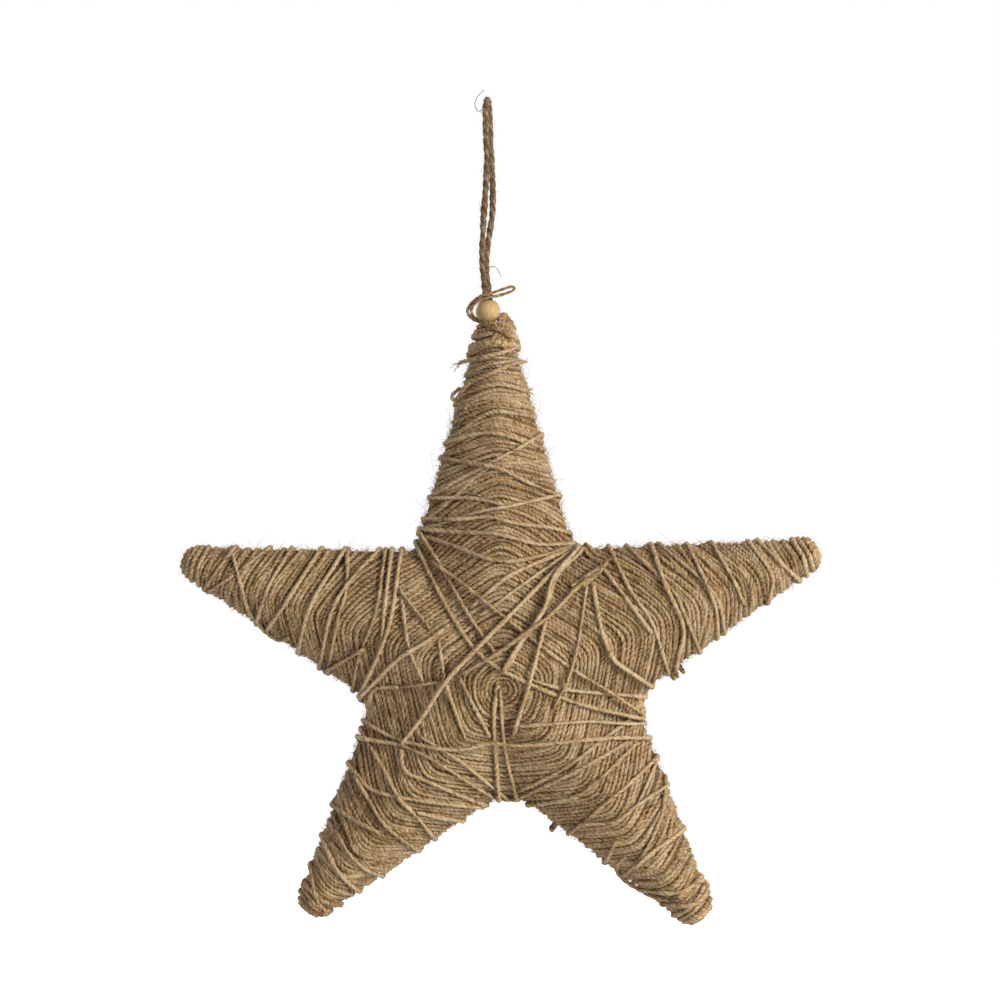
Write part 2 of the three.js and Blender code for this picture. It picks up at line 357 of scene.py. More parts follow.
def star_skin(grow):
    """A merged copy of the CAD star's skin, moved out by grow, in metres."""
    skin = bmesh.new()
    skin.from_mesh(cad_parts["star_body"].data)
    bmesh.ops.remove_doubles(skin, verts=skin.verts, dist=0.001 * MM)
    bmesh.ops.recalc_face_normals(skin, faces=skin.faces)
    skin.normal_update()
    outward = [vert.normal.copy() for vert in skin.verts]
    for vert, normal in zip(skin.verts, outward):
        vert.co += normal * grow
    skin.normal_update()
    return skin


class Shell:
    """The star's skin moved in or out, asked for its heights in mm over the star's plane."""

    def __init__(self, grow):
        skin = star_skin(grow)
        self.tree = BVHTree.FromBMesh(skin)
        skin.free()

    def height(self, across, up):
        """Half the thickness there, or None outside the outline."""
        start = Vector(((HUB_X + across) * MM, -0.1, (HUB_Z + up) * MM))
        hit = self.tree.ray_cast(start, Vector((0, 1, 0)))[0]
        return None if hit is None else max(0.0, -hit.y / MM)

    def normal(self, spot):
        """The direction out of the star nearest to a point of the part's frame."""
        return self.tree.find_nearest(spot)[1]

    def rim_normal(self, across, up):
        """The direction out of the star at its rim, in the star's plane."""
        normal = self.tree.find_nearest(Vector(((HUB_X + across) * MM, 0, (HUB_Z + up) * MM)))[1]
        flat = Vector((normal.x, normal.z))
        return flat.normalized() if flat.length > 0.01 else Vector((0, 1))


def in_part(across, out, up):
    """A point of the star's plane, out mm towards the front, in the part's frame in metres."""
    return Vector(((HUB_X + across) * MM, -out * MM, (HUB_Z + up) * MM))


def eased(low, high, value):
    """0 below low, 1 above high, and a smooth rise between them."""
    part = min(1.0, max(0.0, (value - low) / (high - low)))
    return part * part * (3 - 2 * part)


def rim_share(spot):
    """1 in the star's plane, where its rim is, and 0 beyond the rim's band."""
    return max(0.0, 1 - abs(spot.y) / RIM_BAND)


def add_node(tree, kind, inputs=None, **settings):
    """Adds a node to a tree, sets its properties and feeds its inputs with values or outputs."""
    made = tree.nodes.new(kind)
    for key, value in settings.items():
        setattr(made, key, value)
    for key, value in (inputs or {}).items():
        if isinstance(value, bpy.types.NodeSocket):
            tree.links.new(value, made.inputs[key])
        else:
            made.inputs[key].default_value = value
    return made


def math_node(tree, operation, first, second=0.0):
    """One sum in a tree; gives its output."""
    return add_node(tree, "ShaderNodeMath", {0: first, 1: second}, operation=operation).outputs[0]


def noise_of(tree, place, scale, detail, roughness=0.5):
    """A noise texture over a place; gives its value."""
    return add_node(tree, "ShaderNodeTexNoise", {
        "Vector": place, "Scale": scale, "Detail": detail, "Roughness": roughness}).outputs["Fac"]


def object_place(tree):
    """The place on the piece, in its own coordinates."""
    return add_node(tree, "ShaderNodeTexCoord").outputs["Object"]


def stored(tree, label, output="Fac"):
    """A value that the mesh carries."""
    return add_node(tree, "ShaderNodeAttribute", attribute_name=label).outputs[output]


def with_finish(tree, geometry, finish):
    """Geometry with its material set."""
    return add_node(tree, "GeometryNodeSetMaterial", {"Geometry": geometry, "Material": finish}).outputs[0]


def new_tree(name, inputs, result):
    """An empty geometry node tree with named inputs and one geometry output."""
    tree = bpy.data.node_groups.new(name, "GeometryNodeTree")
    for label, kind in inputs:
        tree.interface.new_socket(label, in_out="INPUT", socket_type="NodeSocket" + kind)
    tree.interface.new_socket(result, in_out="OUTPUT", socket_type="NodeSocketGeometry")
    return tree, tree.nodes.new("NodeGroupInput").outputs, tree.nodes.new("NodeGroupOutput").inputs


def strand_tree():
    """Geometry nodes that turn drawn lines into twisted strands with separate plies."""
    tree, given, result = new_tree("Twisted strand", (
        ("Lines", "Geometry"), ("Thickness", "Float"), ("Lay", "Float"), ("Step", "Float"),
        ("Plies", "Int"), ("Ply depth", "Float"), ("Sides", "Int"), ("Finish", "Material")), "Strand")
    line = add_node(tree, "GeometryNodeMeshToCurve", {"Mesh": given["Lines"]}).outputs[0]
    line = add_node(tree, "GeometryNodeCurveSplineType", {
        "Curve": line}, spline_type="CATMULL_ROM").outputs[0]
    line = add_node(tree, "GeometryNodeResampleCurve", {
        "Curve": line, "Length": given["Step"]}, mode="LENGTH").outputs[0]
    length = add_node(tree, "GeometryNodeSplineLength").outputs["Length"]
    place = add_node(tree, "GeometryNodeSplineParameter").outputs

    def carried(label, kind="FLOAT"):
        read = add_node(tree, "GeometryNodeInputNamedAttribute", {"Name": label}, data_type=kind)
        return read.outputs["Attribute"]

    def aimed(operation, first, second):
        return add_node(tree, "ShaderNodeVectorMath", {0: first, 1: second}, operation=operation).outputs

    paced = math_node(tree, "MULTIPLY", math_node(tree, "DIVIDE", length, given["Lay"]), carried("pace"))
    turned = math_node(tree, "MULTIPLY", place["Factor"], math_node(tree, "ROUND", paced))
    twist = math_node(tree, "ADD", math_node(tree, "MULTIPLY", turned, FULL_TURN), carried("phase"))
    line = add_node(tree, "GeometryNodeSetCurveTilt", {"Curve": line, "Tilt": twist}).outputs[0]
    line = add_node(tree, "GeometryNodeStoreNamedAttribute", {
        "Geometry": line, "Name": "along",
        "Value": math_node(tree, "DIVIDE", place["Length"], given["Thickness"])}).outputs[0]
    spot_on_line = add_node(tree, "GeometryNodeInputPosition").outputs[0]
    line = add_node(tree, "GeometryNodeStoreNamedAttribute", {
        "Geometry": line, "Name": "core", "Value": spot_on_line}, data_type="FLOAT_VECTOR").outputs[0]

    ring = add_node(tree, "GeometryNodeCurvePrimitiveCircle", {
        "Resolution": given["Sides"], "Radius": 1.0}).outputs[0]
    corner = math_node(tree, "ADD", add_node(tree, "GeometryNodeInputIndex").outputs[0], 0.5)
    angle = math_node(tree, "MULTIPLY", math_node(tree, "DIVIDE", corner, given["Sides"]), FULL_TURN)
    spot = add_node(tree, "ShaderNodeCombineXYZ", {
        "X": math_node(tree, "COSINE", angle), "Y": math_node(tree, "SINE", angle)}).outputs[0]
    ring = add_node(tree, "GeometryNodeStoreNamedAttribute", {
        "Geometry": ring, "Name": "around", "Value": spot}, data_type="FLOAT_VECTOR").outputs[0]
    lobes = math_node(tree, "COSINE", math_node(tree, "MULTIPLY", angle, given["Plies"]))
    hollow = math_node(tree, "MULTIPLY", math_node(tree, "SUBTRACT", lobes, 1.0), 0.5)
    radius = math_node(tree, "ADD", math_node(tree, "MULTIPLY", hollow, given["Ply depth"]), 1.0)
    lobed = add_node(tree, "ShaderNodeVectorMath", {0: spot, "Scale": radius}, operation="SCALE").outputs[0]
    ring = add_node(tree, "GeometryNodeSetPosition", {"Geometry": ring, "Position": lobed}).outputs[0]

    radius = math_node(tree, "MULTIPLY", given["Thickness"], 0.5)
    half = math_node(tree, "MULTIPLY", radius, carried("girth"))
    strand = add_node(tree, "GeometryNodeCurveToMesh", {
        "Curve": line, "Profile Curve": ring, "Scale": half, "Fill Caps": True}).outputs[0]
    # Crest: how far each point of the strand's skin stands out from the star, with loose strands counted as
    # standing out; the jute material paints shade where it is low.
    outward = carried("outward", "FLOAT_VECTOR")
    side = aimed("SUBTRACT", spot_on_line, carried("core", "FLOAT_VECTOR"))[0]
    stands = aimed("DOT_PRODUCT", side, outward)["Value"]
    crest = math_node(tree, "DIVIDE", stands, radius)
    loose = math_node(tree, "SUBTRACT", 1.0, aimed("LENGTH", outward, outward)["Value"])
    crest = math_node(tree, "ADD", crest, math_node(tree, "MULTIPLY", loose, 0.7))
    strand = add_node(tree, "GeometryNodeStoreNamedAttribute", {
        "Geometry": strand, "Name": "crest", "Value": crest}).outputs[0]
    for label in ("core", "outward", "pace", "phase"):
        strand = add_node(tree, "GeometryNodeRemoveAttribute", {
            "Geometry": strand, "Name": label}).outputs[0]
    strand = add_node(tree, "GeometryNodeSetShadeSmooth", {"Geometry": strand}).outputs[0]
    strand = add_node(tree, "GeometryNodeRealizeInstances", {"Geometry": strand}).outputs[0]
    strand = with_finish(tree, strand, given["Finish"])
    tree.links.new(strand, result["Strand"])
    return tree


def hair_tree():
    """Geometry nodes that grow short bent hairs out of a skin."""
    tree, given, result = new_tree("Jute hairs", (
        ("Skin", "Geometry"), ("Density", "Float"), ("Length", "Float"), ("Thickness", "Float"),
        ("Lean", "Float"), ("Bends", "Int"), ("Seed", "Int"), ("Finish", "Material")), "Hairs")
    roots = add_node(tree, "GeometryNodeDistributePointsOnFaces", {
        "Mesh": given["Skin"], "Density": given["Density"], "Seed": given["Seed"]},
        distribute_method="RANDOM").outputs

    bend = add_node(tree, "GeometryNodeCurveQuadraticBezier", {
        "Resolution": 8, "Start": (0, 0, 0), "Middle": (0.2, 0.35, 0.5), "End": (0.4, 0.1, 1.0)}).outputs[0]
    bend = add_node(tree, "GeometryNodeResampleCurve", {
        "Curve": bend, "Count": given["Bends"]}, mode="COUNT").outputs[0]
    way = add_node(tree, "GeometryNodeSplineParameter").outputs["Factor"]
    taper = math_node(tree, "SUBTRACT", 1.0, math_node(tree, "MULTIPLY", way, 0.65))
    half = math_node(tree, "DIVIDE", math_node(tree, "MULTIPLY", given["Thickness"], 0.5), given["Length"])
    ring = add_node(tree, "GeometryNodeCurvePrimitiveCircle", {"Resolution": 3, "Radius": 1.0}).outputs[0]
    hair = add_node(tree, "GeometryNodeCurveToMesh", {
        "Curve": bend, "Profile Curve": ring, "Scale": math_node(tree, "MULTIPLY", half, taper),
        "Fill Caps": True}).outputs[0]
    hair = with_finish(tree, hair, given["Finish"])

    def drawn(low, high, offset):
        seed = math_node(tree, "ADD", given["Seed"], offset)
        return add_node(tree, "FunctionNodeRandomValue", {2: low, 3: high, "Seed": seed}).outputs[1]

    lean = add_node(tree, "ShaderNodeCombineXYZ", {
        "X": drawn(given["Lean"], 1.5, 1.0), "Z": drawn(0.0, FULL_TURN, 2.0)}).outputs[0]
    lean = add_node(tree, "FunctionNodeEulerToRotation", {"Euler": lean}).outputs[0]
    turned = add_node(tree, "FunctionNodeRotateRotation", {
        "Rotation": roots["Rotation"], "Rotate By": lean}, rotation_space="LOCAL").outputs[0]
    draw = drawn(0.6, 1.5, 3.0)
    width = math_node(tree, "MULTIPLY", given["Length"], draw)
    length = math_node(tree, "MULTIPLY", given["Length"], math_node(tree, "POWER", draw, 3.0))
    size = add_node(tree, "ShaderNodeCombineXYZ", {"X": width, "Y": width, "Z": length}).outputs[0]
    hairs = add_node(tree, "GeometryNodeInstanceOnPoints", {
        "Points": roots["Points"], "Instance": hair, "Rotation": turned, "Scale": size}).outputs[0]
    hairs = add_node(tree, "GeometryNodeStoreNamedAttribute", {
        "Geometry": hairs, "Name": "tone", "Value": drawn(0.0, 1.0, 4.0)}, domain="INSTANCE").outputs[0]
    hairs = add_node(tree, "GeometryNodeRealizeInstances", {"Geometry": hairs}).outputs[0]
    hairs = add_node(tree, "GeometryNodeSetShadeSmooth", {"Geometry": hairs}).outputs[0]
    hairs = with_finish(tree, hairs, given["Finish"])
    tree.links.new(hairs, result["Hairs"])
    return tree


def shared_tree(name, maker):
    """The tree of that name, made the first time it is asked for."""
    return bpy.data.node_groups.get(name) or maker()


def grown(mesh, name, tree, inputs):
    """Runs a node tree over a mesh and gives the result as a plain object at the origin."""
    piece = bpy.data.objects.new(name, mesh)
    bpy.context.scene.collection.objects.link(piece)
    modifier = piece.modifiers.new("Make", "NODES")
    modifier.node_group = tree
    named = {item.name: item.identifier for item in tree.interface.items_tree if item.in_out == "INPUT"}
    for label, value in inputs.items():
        modifier[named[label]] = value
    evaluated = piece.evaluated_get(bpy.context.evaluated_depsgraph_get())
    plain = bpy.data.meshes.new_from_object(evaluated)
    piece.modifiers.clear()
    piece.data = plain
    plain.name = name
    bpy.data.meshes.remove(mesh)
    if not plain.polygons:
        raise RuntimeError(f"{name} came out empty")
    return piece


def line_mesh(strands, shell):
    """Drawn lines as a mesh of edges. A strand is (points in metres, closed, tone or tones, girth or
    girths). Each strand twists at its own pace from its own start, and swells and thins along its length."""
    draw = random.Random(len(strands))
    points, edges = [], []
    carried = {"tone": [], "girth": [], "pace": [], "phase": []}
    for route, closed, tone, girth in strands:
        first, count = len(points), len(route)
        phase = draw.uniform(0, FULL_TURN)
        points += route
        edges += [(first + i, first + i + 1) for i in range(count - 1)]
        if closed:
            edges.append((len(points) - 1, first))
        girths = girth if isinstance(girth, list) else [girth] * count
        away = Vector((9 * phase, 0, 0))
        carried["tone"] += tone if isinstance(tone, list) else [tone] * count
        swells = [1 + LUMPS * noise.noise(spot * 170 + away) for spot in route]
        if shell:
            swells = [swell + RIM_SWELL * rim_share(spot) for swell, spot in zip(swells, route)]
        carried["girth"] += [g * swell for g, swell in zip(girths, swells)]
        carried["pace"] += [draw.uniform(0.75, 1.3)] * count
        carried["phase"] += [phase] * count
    mesh = bpy.data.meshes.new("lines")
    mesh.from_pydata(points, edges, [])
    for label, values in carried.items():
        mesh.attributes.new(label, "FLOAT", "POINT").data.foreach_set("value", values)
    # The direction out of the star at each point, from which the strand tree finds the crest that the jute
    # material darkens as painted shade between strands.
    outward = [part for spot in points for part in (shell.normal(spot) if shell else (0, 0, 0))]
    mesh.attributes.new("outward", "FLOAT_VECTOR", "POINT").data.foreach_set("vector", outward)
    return mesh


def twisted(name, strands, finish, thickness, lay, step, plies=2, ply_depth=0.5, sides=6, shell=None):
    """Strands of twisted plies along drawn lines, as one piece."""
    return grown(line_mesh(strands, shell), name, shared_tree("Twisted strand", strand_tree), {
        "Thickness": thickness, "Lay": lay, "Step": step, "Plies": plies, "Ply depth": ply_depth,
        "Sides": sides, "Finish": finish})


def fit(piece, slot, *nodes):
    """Hands a finished piece to the frame."""
    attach(piece, "root")
    if nodes:
        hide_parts(*nodes)
    return piece


def new_material(name, roughness, sheen=0.0):
    """An empty node material with its shader; gives the material, its tree and the shader's inputs."""
    material = bpy.data.materials.new(name)
    material.use_nodes = True
    shader = material.node_tree.nodes["Principled BSDF"].inputs
    shader["Roughness"].default_value = roughness
    shader["Specular IOR Level"].default_value = 0.25
    shader["Sheen Weight"].default_value = sheen
    shader["Sheen Roughness"].default_value = 0.5
    return material, material.node_tree, shader


def ramp(tree, factor, stops):
    """A colour ramp over (place, colour) stops; gives its colour output."""
    made = add_node(tree, "ShaderNodeValToRGB", {"Fac": factor})
    band = made.color_ramp.elements
    while len(band) < len(stops):
        band.new(0.5)
    for element, (place, colour) in zip(band, stops):
        element.position = place
        element.color = (*colour, 1.0)
    return made.outputs["Color"]


def weighted(tree, parts):
    """The sum of outputs times their weights, each taken about its middle, round one half."""
    total = 0.5
    for output, weight in parts:
        about = math_node(tree, "MULTIPLY", math_node(tree, "SUBTRACT", output, 0.5), weight)
        total = math_node(tree, "ADD", about, total)
    return total


def stray_fibres(tree, place, turn):
    """Thin pale fibres that lie across the strands, all leaning one way."""
    drawn = add_node(tree, "ShaderNodeMapping", {
        "Vector": place, "Rotation": (0.0, turn, 0.0), "Scale": (1500.0, 1500.0, 190.0)}).outputs[0]
    lines = add_node(tree, "ShaderNodeTexNoise", {
        "Vector": drawn, "Scale": 1.0, "Detail": 1.0, "Distortion": 0.5}).outputs["Fac"]
    return add_node(tree, "ShaderNodeMapRange", {
        "Value": lines, "From Min": 0.56, "From Max": 0.68}).outputs[0]


def jute_finish(name, dark, middle, pale, ply_shade=0.17):
    """Jute strands: fibres that follow the twist, turns of different tone, painted shade in the grooves between
    plies and in the hollows between strands.
    """
    if name in bpy.data.materials:
        return bpy.data.materials[name]
    material, tree, shader = new_material(name, 0.85, 0.12)
    tone = stored(tree, "tone")
    along = stored(tree, "along")
    around = stored(tree, "around", "Vector")
    sides = add_node(tree, "ShaderNodeSeparateXYZ", {0: around}).outputs
    own_start = math_node(tree, "MULTIPLY", tone, 61.0)
    run = math_node(tree, "ADD", math_node(tree, "MULTIPLY", along, 0.28), own_start)
    lengthwise = add_node(tree, "ShaderNodeCombineXYZ", {
        "X": sides["X"], "Y": sides["Y"], "Z": run}).outputs[0]
    fibres = noise_of(tree, lengthwise, 1.6, 3.0, 0.7)
    crest = stored(tree, "crest")
    place = object_place(tree)
    patches = noise_of(tree, place, 45.0, 3.0, 0.6)
    specks = noise_of(tree, place, 620.0, 2.0, 0.6)
    blotches = noise_of(tree, place, 240.0, 2.0, 0.6)
    mixed = weighted(tree, ((fibres, 1.5), (tone, 0.3), (patches, 0.5), (blotches, 0.75), (specks, 0.7)))
    for turn in (0.35, -0.8, 1.5):
        stray = math_node(tree, "MULTIPLY", stray_fibres(tree, place, turn), 0.22)
        mixed = math_node(tree, "ADD", mixed, stray)
    # Painted shade: darker where the strand's skin lies low towards the star, in the hollows between strands,
    # more so in irregular patches.
    painted_gap_shade = add_node(tree, "ShaderNodeMapRange", {
        "Value": crest, "From Min": -0.25, "From Max": 0.7, "To Min": 0.44, "To Max": 0.0}).outputs[0]
    gaps = noise_of(tree, place, 170.0, 1.0)
    painted_gap_patches = add_node(tree, "ShaderNodeMapRange", {
        "Value": gaps, "From Min": 0.38, "From Max": 0.64, "To Min": 0.3, "To Max": 1.7}).outputs[0]
    mixed = math_node(tree, "SUBTRACT", mixed, math_node(tree, "MULTIPLY", painted_gap_shade, painted_gap_patches))
    # Painted shade in the grooves between the plies.
    painted_groove_shade = math_node(tree, "POWER", math_node(tree, "ABSOLUTE", sides["Y"]), 3.0)
    hollow = math_node(tree, "MULTIPLY", painted_groove_shade, ply_shade)
    shaded = math_node(tree, "SUBTRACT", mixed, hollow)
    colour = ramp(tree, shaded, ((0.02, dark), (0.42, middle), (0.9, pale)))
    tree.links.new(colour, shader["Base Color"])
    bump = add_node(tree, "ShaderNodeBump", {"Height": fibres, "Strength": 0.6, "Distance": 0.4 * MM})
    tree.links.new(bump.outputs[0], shader["Normal"])
    rough = math_node(tree, "ADD", math_node(tree, "MULTIPLY", fibres, 0.3), 0.65)
    tree.links.new(rough, shader["Roughness"])
    return material


def shade_of(colour, share):
    """A colour made lighter or darker by a share."""
    return tuple(min(1.0, part * share) for part in colour)


def twine_finish():
    """The winding twine's material, in the user's colours."""
    twine = bpy.context.scene.jute_star_twine
    return jute_finish("twisted_jute_twine", twine.dark, twine.middle, twine.pale)


def shaded_under_finish():
    """The deeper layers of winding that show only in the gaps: jute streaked across, made darker than the twine
    above as painted shade in the gaps.
    """
    twine = bpy.context.scene.jute_star_twine
    material, tree, shader = new_material("jute_under_layer", 0.95)
    place = object_place(tree)
    streaks = noise_of(tree, place, 420.0, 4.0, 0.7)
    colour = ramp(tree, streaks, (
        (0.25, shade_of(twine.dark, 0.7)), (0.6, shade_of(twine.middle, 0.5)),
        (0.9, shade_of(twine.middle, 0.8))))
    tree.links.new(colour, shader["Base Color"])
    bump = add_node(tree, "ShaderNodeBump", {"Height": streaks, "Strength": 0.8, "Distance": 0.4 * MM})
    tree.links.new(bump.outputs[0], shader["Normal"])
    return material


def hair_finish():
    """Single jute fibres, from brown to straw."""
    twine = bpy.context.scene.jute_star_twine
    material, tree, shader = new_material("jute_hair", 0.6, 0.2)
    tone = stored(tree, "tone")
    place = object_place(tree)
    along = noise_of(tree, place, 500.0, 2.0)
    mixed = weighted(tree, ((tone, 0.9), (along, 0.5)))
    colour = ramp(tree, mixed, (
        (0.1, shade_of(twine.middle, 0.9)), (0.5, shade_of(twine.pale, 0.75)), (0.95, twine.pale)))
    tree.links.new(colour, shader["Base Color"])
    return material


def bead_finish():
    """Pale turned wood with fine grain lines along the hole."""
    loop = bpy.context.scene.jute_star_loop
    material, tree, shader = new_material("turned_bead_wood", 0.5)
    place = object_place(tree)
    drawn = add_node(tree, "ShaderNodeMapping", {
        "Vector": place, "Rotation": (0.5, 0.35, 0.0), "Scale": (560.0, 460.0, 210.0)}).outputs[0]
    grain = add_node(tree, "ShaderNodeTexNoise", {
        "Vector": drawn, "Scale": 1.0, "Detail": 5.0, "Roughness": 0.65, "Distortion": 0.6}).outputs["Fac"]
    rings = add_node(tree, "ShaderNodeTexWave", {
        "Vector": drawn, "Scale": 0.32, "Distortion": 5.0, "Detail": 2.0},
        bands_direction="X").outputs["Fac"]
    mixed = weighted(tree, ((grain, 0.8), (rings, 0.05)))
    colour = ramp(tree, mixed, (
        (0.15, loop.bead_dark), (0.62, loop.bead_pale), (1.0, shade_of(loop.bead_pale, 1.15))))
    tree.links.new(colour, shader["Base Color"])
    bump = add_node(tree, "ShaderNodeBump", {"Height": grain, "Strength": 0.25, "Distance": 0.15 * MM})
    tree.links.new(bump.outputs[0], shader["Normal"])
    rough = math_node(tree, "ADD", math_node(tree, "MULTIPLY", grain, 0.25), 0.38)
    tree.links.new(rough, shader["Roughness"])
    return material


def loop_route():
    """The cord's route in metres: up one leg, over the top, down the other."""
    def leg(side):
        return [Vector((middle + side * across, side * back, up)) * MM
                for up, middle, across, back in LOOP_LEVELS]

    return leg(-1) + [Vector(LOOP_TOP) * MM] + leg(1)[::-1]


def smooth_route(points, step):
    """A smooth line through points, in even steps."""
    ends = [2 * points[0] - points[1], *points, 2 * points[-1] - points[-2]]
    fine = []
    for before, start, end, after in zip(ends, ends[1:], ends[2:], ends[3:]):
        count = max(2, math.ceil((end - start).length / step))
        for i in range(count):
            t = i / count
            fine.append(0.5 * (2 * start + (end - before) * t
                               + (2 * before - 5 * start + 4 * end - after) * t * t
                               + (3 * start - before - 3 * end + after) * t ** 3))
    return fine + [points[-1].copy()]


def slant(arm, side, out, more):
    """How much a turn falls back for each mm across its arm, out mm from the winding's middle."""
    on_arm = eased(HUB_EDGE, ARM_START, out)
    lean = HUB_LEAN + (arm.leans[side] + more - HUB_LEAN) * on_arm
    lean += (TIP_LEAN + more - lean) * eased(TIP_START, arm.reach, out)
    return math.tan(math.radians(lean))


def turn_point(arm, level, across, skew=0.0):
    """A point of the turn that crosses the arm's ridge at a level, across mm beside the ridge.
    A skewed turn leans more on one side of the arm and less on the other."""
    side = int(across > 0)
    spread = math.hypot(across, RIDGE_ROUNDING) - RIDGE_ROUNDING
    more = LEAN_SPREAD * noise.noise(Vector((level * 0.13, arm.angle * 9.1, side * 4.7)))
    more *= 0.3 + 0.7 * eased(HUB_EDGE, ARM_START, level)
    more += skew if side else -skew
    out = level
    for _ in range(6):
        out = level - spread * slant(arm, side, out, more)
    spot = WINDING_MIDDLE + arm.axis * out + arm.square * across
    return spot + arm.axis * wander(spot, level, STRAY)


def wander(spot, turn, most):
    """How far a turn strays there from its even place: a slow drift and a quicker one."""
    slow = noise.noise(Vector((spot.x * 0.03, spot.y * 0.03, turn * 3.7)))
    quick = noise.noise(Vector((spot.x * 0.11, spot.y * 0.11, turn * 7.3 + 50)))
    return most * (slow + 0.6 * quick)


def turn_end(arm, level, side, shell, skew):
    """How far a turn runs to one side of the ridge, and whether it stops at the rim."""
    sign = 1 if side else -1

    def beyond(across):
        spot = turn_point(arm, level, sign * across, skew)
        reach = spot - WINDING_MIDDLE
        turned = math.atan2(arm.axis.cross(reach), arm.axis.dot(reach))
        if sign * turned > arm.sector[side]:
            return "valley"
        return "rim" if shell.height(*spot) is None else None

    inner, outer, what = 0.0, 0.0, None
    while what is None:
        inner, outer = outer, outer + 1.5
        what = beyond(outer)
    for _ in range(12):
        middle = (inner + outer) / 2
        if beyond(middle):
            outer = middle
        else:
            inner = middle
    return inner, beyond(outer) == "rim"


def turn_across(arm, level, shell, skew=0.0):
    """One turn over one face of an arm: its points with heights, and whether each end is at the rim."""
    ends = [turn_end(arm, level, side, shell, skew) for side in (0, 1)]
    stations = set()
    for sign, (end, rim) in zip((-1, 1), ends):
        count = max(1, math.ceil(end / 3.2))
        stations |= {round(sign * end * i / count, 4) for i in range(count)}
        if rim:
            stations |= {round(sign * max(0.0, end - gap), 4) for gap in (0.0, 0.35, 1.0, 2.0)}
        else:
            stations.add(round(sign * end, 4))
    points = []
    for station in sorted(stations):
        spot = turn_point(arm, level, station, skew)
        height = shell.height(*spot) or 0.0
        rise = wander(spot, level + 300, RISE) * min(1.0, height / 6)
        points.append((spot.x, max(0.0, height + rise), spot.y))
    return points, [rim for _, rim in ends]


def whole_turn(arm, level, shell, skew):
    """A closed turn over both faces of an arm, in metres."""
    points, _ = turn_across(arm, level, shell, skew)
    front = [in_part(a, out, up) for a, out, up in points]
    back = [in_part(a, -out, up) for a, out, up in points[::-1]]
    return without_doubles(front + back)


def tucked(points, depth):
    """Points with heights whose two ends sink under their neighbours."""
    last = len(points) - 1
    return [(a, out - depth * max(0, 2 - min(i, last - i)) / 2, up)
            for i, (a, out, up) in enumerate(points)]


def winding_levels(pitch, draw):
    """Where the turns cross the ridges, in mm from the hub's middle, unevenly spread."""
    level, levels = 1.1, []
    while level < 190:
        levels.append(level + draw.uniform(-0.2, 0.2) * pitch)
        lean = HUB_LEAN + (ARM_LEAN - HUB_LEAN) * eased(HUB_EDGE, ARM_START, level)
        level += pitch / math.cos(math.radians(lean))
    return levels


def closed_turns(crossings):
    """Joins the turns of one level over both faces of the arms into closed rounds."""
    free = {(face, place) for place in crossings for face in (1, -1)}
    count = len(ARM_ENDS)
    rounds = []
    while free:
        face, place = max(free)
        direction, route, used = 1, [], []
        while (face, place) in free:
            free.remove((face, place))
            used.append((face, place))
            points, rims = crossings[place]
            route += [in_part(a, face * out, up) for a, out, up in points[::direction]]
            neighbour = (place + direction) % count
            at_rim = rims[1 if direction > 0 else 0] or neighbour not in crossings
            if at_rim:
                face, direction = -face, -direction
            else:
                place = neighbour
        rounds.append((used, without_doubles(route)))
    return rounds


def without_doubles(route, closed=True, least=0.25 * MM):
    """A route without points that lie on the one before."""
    kept = [route[0]]
    for point in route[1:]:
        if (point - kept[-1]).length > least:
            kept.append(point)
    while closed and len(kept) > 3 and (kept[-1] - kept[0]).length <= least:
        kept.pop()
    return kept


